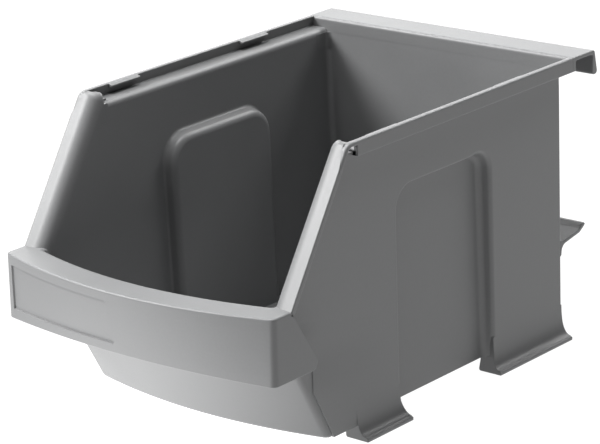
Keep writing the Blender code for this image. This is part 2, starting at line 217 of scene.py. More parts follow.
def plastic(name):
    """The moulding's satin grey plastic. Its colour is a blend of the two greys by 0.5 plus weighted noises,
    and its gloss follows the clouds; the grain is a bump of 0.6 fine and 0.4 coarse noise. A Mix node's
    colour sockets are its inputs 6 and 7 and its output 2."""
    made = bpy.data.materials.new(name)
    made.use_nodes = True
    tree = made.node_tree
    skin = tree.nodes["Principled BSDF"]
    skin.inputs["IOR"].default_value = 1.49
    flow = Flow(tree)
    place = flow.make("ShaderNodeTexCoord", output="Object")
    fine = flow.make("ShaderNodeTexNoise", None, {"Vector": place, "Scale": FINE_SCALE, "Detail": 2.0})
    coarse = flow.make("ShaderNodeTexNoise", None, {"Vector": place, "Scale": COARSE_SCALE, "Detail": 2.0})
    clouds = flow.make("ShaderNodeTexNoise", None, {"Vector": place, "Scale": CLOUD_SCALE, "Detail": 3.0})
    tone = 0.5 + 1.1 * (clouds - 0.5) + 0.7 * (coarse - 0.5) + 0.5 * (fine - 0.5)
    greys = {0: tone, 6: GREY_DEEP, 7: GREY_PALE}
    colour = flow.make("ShaderNodeMix", {"data_type": "RGBA"}, greys, output=2)
    tree.links.new(colour.socket, skin.inputs["Base Color"])
    gloss = 0.44 + 0.16 * (clouds - 0.5) + 0.10 * (coarse - 0.5)
    tree.links.new(gloss.socket, skin.inputs["Roughness"])
    height = 0.6 * fine + 0.4 * coarse
    relief = {"Strength": GRAIN_STRENGTH, "Distance": GRAIN_DEPTH, "Height": height}
    bump = flow.make("ShaderNodeBump", None, relief)
    tree.links.new(bump.socket, skin.inputs["Normal"])
    return made


bin_plastic = plastic("satin_polypropylene")


# Bottom plate: the flat floor of the bin, 2.3 mm thick, moulded with the walls that stand round it.
# Its front edge follows the bow of the low front wall, and it narrows between the two stacking bumps.
MM = 0.001
SMOOTH_BELOW = math.radians(40.0)
FLOOR_UNDER = 6.0
FLOOR_TOP = 8.3
FRONT_FOOT = -60.5
FRONT_LEAN = 0.512
FRONT_BOW = 8.0
FRONT_SET_BACK = 2.0
WALL_HALF = 62.6
FLOOR_FRONT = FRONT_FOOT + 4.0
FLOOR_REAR = 92.0
FLOOR_HALF = 60.6
BUMP_REACH = 3.6
BUMP_LENGTH = (-19.0, -18.0, 47.5, 48.5)


def solid(name, vertices, faces):
    """A named piece from points in millimetres: doubles merged, faces outwards, flat faces left flat."""
    mesh = bpy.data.meshes.new(name)
    mesh.from_pydata((np.asarray(vertices) * MM).tolist(), [], faces)
    shape = bmesh.new()
    shape.from_mesh(mesh)
    bmesh.ops.remove_doubles(shape, verts=shape.verts, dist=0.000001)
    bmesh.ops.dissolve_degenerate(shape, dist=0.0000005, edges=shape.edges)
    if shape.calc_volume(signed=True) < 0.0:
        bmesh.ops.reverse_faces(shape, faces=shape.faces)
    shape.to_mesh(mesh)
    shape.free()
    mesh.shade_smooth()
    mesh.set_sharp_from_angle(angle=SMOOTH_BELOW)
    mesh.materials.append(bin_plastic)
    piece = bpy.data.objects.new(name, mesh)
    bpy.context.scene.collection.objects.link(piece)
    return piece


def loft(name, rings):
    """A closed shell through closed rings: rings[i, j] is point j of ring i, and both ends are filled."""
    count, size = rings.shape[:2]
    base = np.arange(count - 1)[:, None] * size
    here = np.arange(size)[None, :]
    ahead = (here + 1) % size
    quads = np.stack([base + here, base + size + here, base + size + ahead, base + ahead], axis=-1)
    ends = [list(range(size))[::-1], list(range((count - 1) * size, count * size))]
    return solid(name, rings.reshape(-1, 3), quads.reshape(-1, 4).tolist() + ends)


def keep(piece, slot, *nodes):
    """The piece belongs to the one rigid body and stands for its CAD nodes, which are hidden."""
    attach(piece, "root")
    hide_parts(*nodes)


def front_wall_y(x, z):
    """Outer face of the low front wall: a parabola in plan that leans forward with height."""
    return FRONT_FOOT - FRONT_BOW * (1.0 - (x / WALL_HALF) ** 2) - FRONT_LEAN * (z - FLOOR_UNDER)


across = np.linspace(-1.0, 1.0, 41)
depth = np.linspace(0.0, 1.0, 61)
floor_y = FLOOR_FRONT + (FLOOR_REAR - FLOOR_FRONT) * depth
beside_bump = np.interp(floor_y, BUMP_LENGTH, [0.0, 1.0, 1.0, 0.0])
half_width = FLOOR_HALF - BUMP_REACH * beside_bump
floor_x = half_width[:, None] * across[None, :]
to_front_wall = front_wall_y(floor_x, FLOOR_UNDER) + FRONT_SET_BACK - FLOOR_FRONT
bowed_y = floor_y[:, None] + (1.0 - depth[:, None]) * to_front_wall
upper = np.stack([floor_x, bowed_y, np.full_like(floor_x, FLOOR_TOP)], axis=-1)
lower = np.stack([floor_x, bowed_y, np.full_like(floor_x, FLOOR_UNDER)], axis=-1)
bottom_plate = loft("bottom_plate", np.concatenate([upper, lower[:, ::-1]], axis=1))
keep(bottom_plate, "floor_pan", "floor_pan")


# Back wall: upright across the rear, turning forwards into both side walls round small inner corners.
# Its rear face slopes a little, so that the bin leaves the mould, and its rear corners are rounded.
WALL_TOP_Z = 119.0
SEAM_Z = 112.0
BACK_SEAM_Y = 84.0
BACK_TOP_Z = 118.9
WALL_THICK = 2.0
BACK_THICK = 2.4
RIM_SEAM_INSET = 0.06


def rounded(corners, steps=5, closed=True):
    """An outline from corners (a, b, radius). A corner with a radius becomes an arc that touches both sides,
    at equal angles: start and end directions are blended by the sine rule. One point more on each side of an
    arc keeps the flat faces beside it flat."""
    found = []
    total = len(corners)
    for index, (a, b, radius) in enumerate(corners):
        corner = np.array([a, b])
        if radius == 0.0 or (not closed and index in (0, total - 1)):
            found.append(corner[None, :])
            continue
        before = np.array(corners[index - 1][:2]) - corner
        after = np.array(corners[(index + 1) % total][:2]) - corner
        before = before / np.linalg.norm(before)
        after = after / np.linalg.norm(after)
        half = math.acos(float(np.clip(before @ after, -1.0, 1.0))) / 2.0
        reach = radius / math.tan(half)
        middle = corner + (before + after) / np.linalg.norm(before + after) * radius / math.sin(half)
        start = corner + before * reach - middle
        end = corner + after * reach - middle
        swing = math.pi - 2.0 * half
        share = np.linspace(0.0, 1.0, steps + 1)[:, None]
        arc = (np.sin((1.0 - share) * swing) * start + np.sin(share * swing) * end) / math.sin(swing)
        guard = min(0.2 * radius, 0.25)
        found.append((corner + before * (reach + guard))[None, :])
        found.append(middle + arc)
        found.append((corner + after * (reach + guard))[None, :])
    return np.concatenate(found)


def wall_out(z):
    """Half width over the side walls at a height: the walls taper towards the bottom."""
    return 62.0 + 1.2 * z / WALL_TOP_Z


def back_out(z):
    """Rear face of the back wall at a height."""
    return 92.9 + 1.0 * z / WALL_TOP_Z


def back_ring(z):
    """Plan outline of the back wall with its two corners at a height. Above the seam it stands a hair inside
    the rims, which cover it there."""
    out = wall_out(z) - (RIM_SEAM_INSET if z > SEAM_Z else 0.0)
    rear = back_out(z)
    inner = out - WALL_THICK
    face = rear - BACK_THICK
    half = [(inner, BACK_SEAM_Y, 0.0), (inner, face, 2.4)]
    other = [(-a, b, r) for a, b, r in half[::-1]]
    outside = [(-out, BACK_SEAM_Y, 0.0), (-out, rear, 1.2), (out, rear, 1.2), (out, BACK_SEAM_Y, 0.0)]
    outline = rounded(half + other + outside)
    return np.column_stack([outline, np.full(len(outline), z)])


back_heights = np.concatenate([
    [FLOOR_UNDER, 6.3, 7.0], np.linspace(10.0, 110.0, 11), [SEAM_Z, SEAM_Z + 0.05, BACK_TOP_Z],
])
back_wall_panel = loft("back_wall_panel", np.stack([back_ring(z) for z in back_heights]))
keep(back_wall_panel, "back_wall", "back_wall")


# Side walls: 2 mm thick, each pressed inwards into a bump whose hollow outer side takes the foot of the bin
# that stands on this one. The hollow is open at the bottom, and the wall's front edge stands a little proud.
RECESS_FRONT = -16.0
RECESS_REAR = 44.8
RECESS_TOP = 96.4
RECESS_PLANE = 57.2
BUMP_PLANE = 55.3
HOLLOW_SINK = 5.4
BUMP_RISE = 5.9
FRONT_LEG_LEAN = 1.4
# Each arch: its front, rear and top, and the radii of its front and rear corners
HOLLOW_ARCH = (RECESS_FRONT, RECESS_REAR, RECESS_TOP, 10.0, 8.5)
BUMP_ARCH = (-15.6, 44.6, 97.0, 11.0, 11.0)
LEG_STEPS = 24
ARC_STEPS = 8
TOP_STEPS = 12
SLANT_TOP = (-52.3, 125.0)
SLANT_FOOT = (-88.8, 69.2)
SLANT_RUN = SLANT_TOP[0] - SLANT_FOOT[0]
SLANT_RISE = SLANT_TOP[1] - SLANT_FOOT[1]
SLANT_LENGTH = math.hypot(SLANT_RUN, SLANT_RISE)
FLANGE_STUB = 6.5


def spaced(corners, counts):
    """Points along a bent line, with a given number of equal steps on each of its straight parts."""
    parts = [np.linspace(corners[i], corners[i + 1], counts[i] + 1)[:-1] for i in range(len(counts))]
    return np.concatenate(parts + [np.array(corners[-1])[None, :]])


def arch(front, rear, top, radius_front, radius_rear):
    """The bump's upside-down U: its points, and the outward direction at each."""
    turn = np.linspace(math.pi, math.pi / 2, ARC_STEPS + 1)[:, None]
    turned = np.linspace(math.pi / 2, 0.0, ARC_STEPS + 1)[:, None]
    front_arc = np.hstack([np.cos(turn), np.sin(turn)])
    rear_arc = np.hstack([np.cos(turned), np.sin(turned)])
    front_middle = np.array([front + radius_front, top - radius_front])
    rear_middle = np.array([rear - radius_rear, top - radius_rear])
    left = spaced([(front, FLOOR_UNDER), (front, top - radius_front)], [LEG_STEPS])
    crown = spaced([(front + radius_front, top), (rear - radius_rear, top)], [TOP_STEPS])
    right = spaced([(rear, top - radius_rear), (rear, FLOOR_UNDER)], [LEG_STEPS])
    points = [left[:-1], front_middle + radius_front * front_arc[:-1], crown[:-1]]
    points += [rear_middle + radius_rear * rear_arc[:-1], right]
    normals = [np.tile([-1.0, 0.0], (LEG_STEPS, 1)), front_arc[:-1], np.tile([0.0, 1.0], (TOP_STEPS, 1))]
    normals += [rear_arc[:-1], np.tile([1.0, 0.0], (LEG_STEPS + 1, 1))]
    return np.concatenate(points), np.concatenate(normals)


def slant_point(along, normal):
    """Y and Z at a distance up the slanted edge and a distance in front of its face."""
    up = np.array([SLANT_RUN, SLANT_RISE]) / SLANT_LENGTH
    out = np.array([-up[1], up[0]])
    return np.array(SLANT_FOOT) + np.multiply.outer(along, up) + np.multiply.outer(normal, out)


stub_foot = slant_point(0.0, -FLANGE_STUB)
stub_rise = (SEAM_Z - stub_foot[1]) / (SLANT_RISE / SLANT_LENGTH)
stub_top = slant_point(stub_rise, -FLANGE_STUB)
WALL_EDGE = [(-57.5, FLOOR_UNDER), (-68.3, 28.0), (-68.3, 44.0), tuple(stub_foot), tuple(stub_top)]
EDGE_STEPS = (6, 4, 4, 10)
wall_border = np.concatenate([
    spaced(WALL_EDGE, EDGE_STEPS)[:-1],
    spaced([tuple(stub_top), (BACK_SEAM_Y, SEAM_Z)], [2 * ARC_STEPS + TOP_STEPS])[:-1],
    spaced([(BACK_SEAM_Y, SEAM_Z), (BACK_SEAM_Y, FLOOR_UNDER)], [LEG_STEPS]),
])
# The border's free edge is rounded up to the label lip and fades out over the next points
free_points = EDGE_STEPS[0] + EDGE_STEPS[1] + 1
fade_points = EDGE_STEPS[2]
covered_points = len(wall_border) - free_points - fade_points
free_edge = np.concatenate([
    np.ones(free_points), np.linspace(1.0, 0.0, fade_points), np.zeros(covered_points),
])


def swell(section, other, share):
    """Blend two cross sections of as many points along the arch: one in front, the other at the rear."""
    return section[:, None, :] * (1.0 - share[None, :, None]) + other[:, None, :] * share[None, :, None]


def side_wall(name, sign):
    """One wall as a closed shell. Rings follow the arch from the hollow's flat bottom out to the wall's
    border, over the border, and back in to the bump's flat face. Each ring is the arch moved out by the
    section's first number, and sunk by its second number's share of the hollow's depth."""
    points, normals = arch(*HOLLOW_ARCH)
    rear_share = np.clip((points[:, 0] - 30.0) / 10.0, 0.0, 1.0)
    front_share = np.clip((RECESS_REAR - points[:, 0]) / 60.0, 0.0, 1.0)
    lean = FRONT_LEG_LEAN * (points[:, 1] - 50.0) / 90.0 * front_share
    points = points + np.column_stack([lean, np.zeros(len(lean))])
    front_bend = [(-6.0, HOLLOW_SINK, 0.0), (-0.6, HOLLOW_SINK, 1.0), (0.0, 0.0, 0.8), (4.0, 0.0, 0.0)]
    rear_bend = [(-6.0, HOLLOW_SINK, 0.0), (-1.0, HOLLOW_SINK, 2.6), (0.4, 0.0, 1.8), (4.0, 0.0, 0.0)]
    section_front = rounded(front_bend, 4, False) / [1.0, HOLLOW_SINK]
    section_rear = rounded(rear_bend, 4, False) / [1.0, HOLLOW_SINK]
    hollow = swell(section_front, section_rear, rear_share)
    spots = points[None] + normals[None] * hollow[..., :1]
    spots[:, 0, 1] = FLOOR_UNDER
    spots[:, -1, 1] = FLOOR_UNDER
    out = wall_out(spots[..., 1])
    outer = np.dstack([out - (out - RECESS_PLANE) * hollow[..., 1], spots[..., 0], spots[..., 1]])
    edge = []
    for inset, sink in ((0.34, 0.0), (0.10, 0.10), (0.0, 0.34), (0.0, 2.0)):
        moved = wall_border + np.column_stack([free_edge * inset, np.zeros(len(free_edge))])
        edge.append(np.column_stack([wall_out(moved[:, 1]) - sink, moved]))
    bump_bend = [(5.0, 0.0, 0.0), (1.4, 0.0, 1.4), (0.2, BUMP_RISE, 2.9), (-9.0, BUMP_RISE, 0.0)]
    raised = rounded(bump_bend, 6, False) / [1.0, BUMP_RISE]
    bump_points, bump_normals = arch(*BUMP_ARCH)
    places = bump_points[None] + bump_normals[None] * raised[:, None, :1]
    places[:, 0, 1] = FLOOR_UNDER
    places[:, -1, 1] = FLOOR_UNDER
    inside = wall_out(places[..., 1]) - WALL_THICK
    inner = np.dstack([inside - (inside - BUMP_PLANE) * raised[:, None, 1], places[..., 0], places[..., 1]])
    rings = np.concatenate([outer, np.stack(edge), inner])
    rings[..., 0] *= sign
    count, size = rings.shape[:2]
    base = np.arange(count - 1)[:, None] * size
    here = np.arange(size - 1)[None, :]
    quads = np.stack([base + here, base + size + here, base + size + here + 1, base + here + 1], axis=-1)
    firsts = [ring * size for ring in range(count)]
    lasts = [ring * size + size - 1 for ring in range(count)]
    flats = [list(range(size))[::-1], list(range((count - 1) * size, count * size)), firsts + lasts[::-1]]
    return solid(name, rings.reshape(-1, 3), quads.reshape(-1, 4).tolist() + flats)


for side, sign in (("left", -1.0), ("right", 1.0)):
    wall = side_wall("wall_panel_" + side, sign)
    keep(wall, "side_wall_" + side, "side_wall_" + side, "recess_" + side)


# Low front wall: bowed in plan and leaning forwards, it turns round both front corners, just behind the side
# walls' faces, and ends inside their front edges.
FRONT_CORNER = 3.0
FRONT_THICK = 2.4
FRONT_WALL_TOP = 67.2
FRONT_FACE_STEPS = 60
CORNER_STEPS = 8
BEHIND_FACE = 0.55
RETURN_DEPTH = 1.9
RETURN_END_LOW = -54.0
RETURN_END_HIGH = -80.0


def bowed_path(half_width, end_y, bow, corner, rear_y, back_steps=6):
    """Plan path from the right rear, round the front and back to the left rear: its points and the outward
    directions. The front is a parabola, and each corner an arc that starts along Y and ends along it."""
    centre_x = half_width - corner
    slope = 2.0 * bow * (centre_x + 0.95 * corner * 0.2) / half_width ** 2
    sweep = math.pi / 2 - math.atan(slope)
    turn = np.linspace(0.0, sweep, CORNER_STEPS + 1)
    join_x = centre_x + corner * math.cos(sweep)
    join_y = end_y - bow * (1.0 - (join_x / half_width) ** 2)
    centre_y = join_y + corner * math.sin(sweep)
    straight = spaced([(half_width, rear_y), (half_width, centre_y)], [back_steps])[:-1]
    arc = np.column_stack([centre_x + corner * np.cos(turn), centre_y - corner * np.sin(turn)])
    face_x = np.linspace(join_x, -join_x, FRONT_FACE_STEPS + 1)
    face = np.column_stack([face_x, end_y - bow * (1.0 - (face_x / half_width) ** 2)])
    tilt = np.arctan(2.0 * bow * face_x / half_width ** 2)
    right_side = np.tile([1.0, 0.0], (back_steps, 1))
    left_half = [(arc * [-1.0, 1.0])[-2::-1], (straight * [-1.0, 1.0])[::-1]]
    points = np.concatenate([straight, arc[:-1], face] + left_half)
    arc_out = np.column_stack([np.cos(turn), -np.sin(turn)])
    out = [right_side, arc_out[:-1], np.column_stack([np.sin(tilt), -np.cos(tilt)])]
    out += [(arc_out * [-1.0, 1.0])[-2::-1], right_side * [-1.0, 1.0]]
    return points, np.concatenate(out)


def carried(profile, lower, upper, low_z, high_z):
    """Rings of a profile (distance outwards, height) carried along a path that changes from its lower course
    to its upper course in proportion to height."""
    share = ((profile[:, 1] - low_z) / (high_z - low_z))[None, :, None]
    course = lower[0][:, None, :] * (1.0 - share) + upper[0][:, None, :] * share
    out = lower[1][:, None, :] * (1.0 - share) + upper[1][:, None, :] * share
    plan = course + out * profile[None, :, :1]
    return np.concatenate([plan, np.broadcast_to(profile[None, :, 1:], plan.shape[:2] + (1,))], axis=-1)


low_end = FRONT_FOOT
high_end = FRONT_FOOT - FRONT_LEAN * (FRONT_WALL_TOP - FLOOR_UNDER)
low_half = wall_out(FLOOR_UNDER) - BEHIND_FACE
high_half = wall_out(FRONT_WALL_TOP) - BEHIND_FACE
low_course = bowed_path(low_half, low_end, FRONT_BOW, FRONT_CORNER, RETURN_END_LOW)
high_course = bowed_path(high_half, high_end, FRONT_BOW, FRONT_CORNER, RETURN_END_HIGH)
front_profile = rounded([
    (-FRONT_THICK, FLOOR_UNDER, 0.0), (0.0, FLOOR_UNDER, 1.3), (0.0, 20.0, 0.0), (0.0, 34.0, 0.0),
    (0.0, 48.0, 0.0), (0.0, FRONT_WALL_TOP, 0.0), (-FRONT_THICK, FRONT_WALL_TOP, 0.0),
    (-FRONT_THICK, 30.0, 0.0),
])
front_rings = carried(front_profile, low_course, high_course, FLOOR_UNDER, FRONT_WALL_TOP)
beside_wall = (np.abs(high_course[1][:, 0]) > 0.99)[:, None]
wall_inner = wall_out(front_rings[..., 2]) - RETURN_DEPTH
held_x = np.sign(front_rings[..., 0]) * np.maximum(np.abs(front_rings[..., 0]), wall_inner)
front_rings[..., 0] = np.where(beside_wall, held_x, front_rings[..., 0])
low_front_wall = loft("low_front_wall", front_rings)
keep(low_front_wall, "front_wall", "front_wall")


# Label lip: a bowed face for a label, with a shallow pocket on its left half, and two cheeks that turn back
# to the side walls. It hangs in front of the low wall and is open underneath.
LABEL_HALF = 71.5
LABEL_TOP = 69.2
LABEL_BOTTOM = 42.2
LABEL_CORNER = 2.8
LABEL_SEAM = 2.7
POCKET_X = (-67.4, -5.5)
POCKET_Z = (46.5, 64.8)
POCKET_DEPTH = 0.7
POCKET_EDGE = 0.18
SHELF_UNDER = 67.2
CHEEK_TOP_REAR = -89.1
CHEEK_BOTTOM_REAR = -75.2
CHEEK_CORNER = 3.2
CHEEK_STEPS = 16
FACE_START = CHEEK_STEPS + CORNER_STEPS

label_low = bowed_path(LABEL_HALF, -100.3, 6.2, LABEL_CORNER, CHEEK_BOTTOM_REAR, CHEEK_STEPS)
label_high = bowed_path(LABEL_HALF, -99.0, 12.0, LABEL_CORNER, CHEEK_TOP_REAR, CHEEK_STEPS)
label_profile = rounded([
    (0.0, LABEL_BOTTOM, 0.45), (0.0, POCKET_Z[0] - POCKET_EDGE, 0.0), (0.0, POCKET_Z[0] + POCKET_EDGE, 0.0),
    (0.0, 55.0, 0.0), (0.0, POCKET_Z[1] - POCKET_EDGE, 0.0), (0.0, POCKET_Z[1] + POCKET_EDGE, 0.0),
    (0.0, LABEL_TOP, 0.8), (-LABEL_SEAM, LABEL_TOP, 0.0), (-LABEL_SEAM, SHELF_UNDER, 0.0),
    (-2.0, SHELF_UNDER, 0.4), (-2.0, LABEL_BOTTOM, 0.45),
], 4)


def with_stops(course, stops):
    """Move two neighbouring points of the path onto each pair of X positions, the nearest point and the one
    before it, so that a step in the surface starts and ends there."""
    points, out = course
    points = points.copy()
    face = slice(FACE_START, FACE_START + FRONT_FACE_STEPS + 1)
    for low, high in zip(stops[::2], stops[1::2]):
        nearest = FACE_START + int(np.argmin(np.abs(points[face, 0] - low)))
        for index, stop in ((nearest, low), (nearest - 1, high)):
            slide = stop - points[index, 0]
            slope = -out[index, 0] / out[index, 1]
            points[index] += [slide, slide * slope]
    return points, out


pocket_stops = [middle + way * POCKET_EDGE for middle in POCKET_X for way in (-1.0, 1.0)]
label_low = with_stops(label_low, pocket_stops)
label_high = with_stops(label_high, pocket_stops)
label_rings = carried(label_profile, label_low, label_high, LABEL_BOTTOM, LABEL_TOP)
on_face = label_profile[:, 0] > -0.01
pocket_z = [middle + way * POCKET_EDGE for middle in POCKET_Z for way in (-1.0, 1.0)]
sink_x = np.interp(label_high[0][:, 0], pocket_stops, (0.0, 1.0, 1.0, 0.0)) * (label_high[1][:, 1] < -0.5)
sink_z = np.interp(label_profile[:, 1], pocket_z, (0.0, 1.0, 1.0, 0.0)) * on_face
label_rings[..., 1] += POCKET_DEPTH * sink_x[:, None] * sink_z[None, :]

# The cheeks' lower rear corners are rounded: the bottom is lifted there by the corner's arc
from_rear = np.abs(label_rings[:, 0, 1] - CHEEK_BOTTOM_REAR)
to_rear = np.clip((CHEEK_CORNER - from_rear) / CHEEK_CORNER, 0.0, 1.0)
to_rear = to_rear * (np.abs(label_rings[:, 0, 0]) > LABEL_HALF - 3.0)
lift = CHEEK_CORNER * (1.0 - np.sqrt(1.0 - to_rear ** 2))
label_rings[..., 2] += lift[:, None] * (LABEL_TOP - label_profile[None, :, 1]) / (LABEL_TOP - LABEL_BOTTOM)
label_skirt = loft("label_skirt", label_rings)
keep(label_skirt, "label_face", "label_face", "label_cheek_left", "label_cheek_right")


# Label top: the flat top of the label lip, from its face to the inside of the low wall, where it rolls over
# the wall's edge. It runs on under the feet of the two slanted flanges.
SHELF_ROLL = 1.9
SHELF_REAR = -82.0
SHELF_IN_WALL = 1.6

shelf_front = label_high[0] - label_high[1] * LABEL_SEAM
end_points = CHEEK_STEPS + 1
shelf_front[:end_points, 1] = np.linspace(SHELF_REAR, shelf_front[CHEEK_STEPS, 1], end_points)
shelf_front[-end_points:, 1] = np.linspace(shelf_front[-end_points, 1], SHELF_REAR, end_points)
inner_half = float(wall_out(LABEL_TOP)) - SHELF_IN_WALL
shelf_inner, shelf_out = bowed_path(inner_half, -88.0, 9.0, 0.6, SHELF_REAR, CHEEK_STEPS)
tops = [shelf_inner + shelf_out * SHELF_ROLL * 1.2]
heights = [LABEL_TOP]
for angle in np.linspace(0.0, math.pi / 2, 7):
    tops.append(shelf_inner + shelf_out * SHELF_ROLL * (1.0 - math.sin(angle)))
    heights.append(LABEL_TOP - SHELF_ROLL * (1.0 - math.cos(angle)))
tops += [shelf_inner, shelf_front]
heights += [SHELF_UNDER, SHELF_UNDER]
courses = np.stack([shelf_front] + tops, axis=1)
levels = np.broadcast_to(np.array([LABEL_TOP] + heights)[None, :, None], courses.shape[:2] + (1,))
label_shelf = loft("label_shelf", np.concatenate([courses, levels], axis=-1))
keep(label_shelf, "label_top", "label_top")


# Slanted flanges: the side walls' front edges, turned outwards into a flat strip that rolls over into the
# inner face of the wall. The strip's head is cut level near the rim's top, and its inner corner is rounded.
FLANGE_THICK = 2.2
FLANGE_ROLL = 5.6
FLANGE_INNER = 61.3
STUB_OUTER = 63.3
HEAD_ROUND = 2.6
HEAD_CUT = 0.3
HEAD_EASE = 0.6
LIP_CREST = 68.9
TAPER_FROM = 66.0
# At the head, what lies behind the face rises by LEVEL_RISE of its depth, except that from some depth on it
# sinks again, by STUB_FALL of its depth from STUB_RISE, so that the stub stays under the rim
LEVEL_LENGTH = 8.0
LEVEL_RISE = 0.65
STUB_RISE = 8.9
STUB_FALL = 1.53


def flange(name, sign):
    """The strip's cross section, carried up the slope: a point is the slope's foot, plus its distance up
    along the slope, plus its distance in front of the face. Towards the head the section narrows by a
    quarter circle, and its rear points rise further than its face, which cuts the head level."""
    section = rounded([
        (LABEL_HALF, 0.0, 0.5), (FLANGE_INNER, 0.0, FLANGE_ROLL), (FLANGE_INNER, -FLANGE_STUB, 0.0),
        (STUB_OUTER, -FLANGE_STUB, 0.0), (STUB_OUTER, -FLANGE_THICK, 0.9), (LABEL_HALF, -FLANGE_THICK, 0.5),
    ], 7)
    head = SLANT_LENGTH - HEAD_CUT
    corner_steps = head - HEAD_ROUND * np.cos(np.linspace(0.15, 1.5, 12))
    along = np.concatenate([[-1.4, 0.0], np.linspace(6.0, head - HEAD_ROUND, 9), corner_steps, [head]])
    close = np.clip((along - head + HEAD_ROUND) / HEAD_ROUND, 0.0, 1.0)
    inner_edge = FLANGE_INNER + HEAD_ROUND * (1.0 - np.sqrt(1.0 - close ** 2))
    shrink = (LABEL_HALF - inner_edge) / (LABEL_HALF - FLANGE_INNER)
    x = LABEL_HALF - (LABEL_HALF - section[None, :, 0]) * shrink[:, None]
    outer_edge = np.interp(along, [head - 3.2, head - 2.4], [LABEL_HALF, LIP_CREST + 0.4])
    x = np.minimum(x, outer_edge[:, None])
    near_top = np.clip((along - head + HEAD_EASE) / HEAD_EASE, 0.0, 1.0)
    top_ease = HEAD_EASE * (1.0 - np.sqrt(1.0 - near_top ** 2))
    front = np.minimum(section[None, :, 1], -top_ease[:, None])
    up = np.array([SLANT_RUN, SLANT_RISE]) / SLANT_LENGTH
    out = np.array([-up[1], up[0]])
    back = -section[:, 1]
    level_cut = np.minimum(LEVEL_RISE * back, STUB_RISE - STUB_FALL * back)
    settle = np.clip((along - head + LEVEL_LENGTH) / LEVEL_LENGTH, 0.0, 1.0) ** 2
    risen = along[:, None] + settle[:, None] * level_cut[None, :]
    spots = np.array(SLANT_FOOT) + risen[:, :, None] * up + front[:, :, None] * out
    held = np.clip((TAPER_FROM - section[:, 0]) / (TAPER_FROM - STUB_OUTER), 0.0, 1.0)
    x = x + held[None, :] * (wall_out(spots[..., 1]) - STUB_OUTER)
    return loft(name, np.dstack([x * sign, spots]))


for side, sign in (("left", -1.0), ("right", 1.0)):
    strip = flange("slant_flange_" + side, sign)
    keep(strip, "flange_" + side, "flange_" + side)


# Rim: above each side wall a ledge steps outwards, and a lip rises from its outer edge and thickens towards
# its top. The foot of the bin above rests on the ledge, whose inner edge is well rounded.
LEDGE_UNDER = 118.9
LEDGE_TOP = 120.5
LIP_INNER = 69.7
CHANNEL_FRONT = -46.8
CHANNEL_REAR = 91.6
HEIGHT = 125.0
END_WALL_TOP = 121.4
GUSSET_REAR = CHANNEL_FRONT + 0.3
GUSSET_TOP = 119.6
BEAD_DEPTH = 1.7
A_HAIR = 0.03
HEAD_BEND = 5.0
SLOPE_ANGLE = math.atan2(SLANT_RISE, SLANT_RUN)
BEND_REACH = HEAD_BEND * math.tan(SLOPE_ANGLE / 2.0)
BEND_START_Y = SLANT_TOP[0] + BEND_REACH


def shrunk(outline, inset):
    """A closed outline moved inwards by a distance, each point square to the mean of its two sides."""
    ahead = np.roll(outline, -1, axis=0) - outline
    ahead = ahead / np.linalg.norm(ahead, axis=1)[:, None]
    behind = np.roll(ahead, 1, axis=0)
    mean = ahead + behind
    mean = mean / np.linalg.norm(mean, axis=1)[:, None]
    area = np.sum(outline[:, 0] * np.roll(outline[:, 1], -1) - np.roll(outline[:, 0], -1) * outline[:, 1])
    inward = np.column_stack([-mean[:, 1], mean[:, 0]]) * np.sign(area)
    stretch = 1.0 / np.clip(np.sum(mean * ahead, axis=1), 0.5, 1.0)
    return outline + inward * (inset * stretch)[:, None]


def run(outline, start, end, axis, ease_start=0.0, ease_end=0.0, between=()):
    """Rings of an outline carried straight along an axis, with stops between if they are given. An end with
    an ease is rounded: its last outlines shrink by ease * (1 - cos) while they advance by ease * sin."""
    curl = [(1 - math.sin(turn), 1 - math.cos(turn)) for turn in np.radians([90.0, 60.0, 30.0, 0.0])]
    way = math.copysign(1.0, end - start)
    places = []
    if ease_start > 0.0:
        places += [(start + way * ease_start * on, ease_start * inset) for on, inset in curl]
        places.append((start + way * ease_start * 1.2, 0.0))
    else:
        places.append((start, 0.0))
    places += [(stop, 0.0) for stop in between]
    if ease_end > 0.0:
        places.append((end - way * ease_end * 1.2, 0.0))
        places += [(end - way * ease_end * on, ease_end * inset) for on, inset in curl[::-1]]
    else:
        places.append((end, 0.0))
    rings = []
    for place, inset in places:
        ring = shrunk(outline, inset) if inset > 0.0 else outline
        rings.append(np.insert(ring, axis, place, axis=1))
    return np.stack(rings)


def rim(name, sign):
    """Wall top, ledge and lip in one cross section, carried from the channel's front end to the rear."""
    out = float(wall_out(SEAM_Z))
    out_top = float(wall_out(LEDGE_UNDER))
    section = rounded([
        (out - WALL_THICK, SEAM_Z, 0.0), (out_top - WALL_THICK, LEDGE_TOP, 2.4), (LIP_INNER, LEDGE_TOP, 0.5),
        (LIP_CREST, HEIGHT, 0.5), (LABEL_HALF - 0.1, HEIGHT, 0.95), (LABEL_HALF, LEDGE_UNDER, 0.4),
        (out_top, LEDGE_UNDER, 0.8), (out, SEAM_Z, 0.0),
    ], 6)
    section[:, 0] *= sign
    return loft(name, run(section, CHANNEL_FRONT, CHANNEL_REAR, 1, between=(-30.0, 0.0, 30.0, 60.0)))


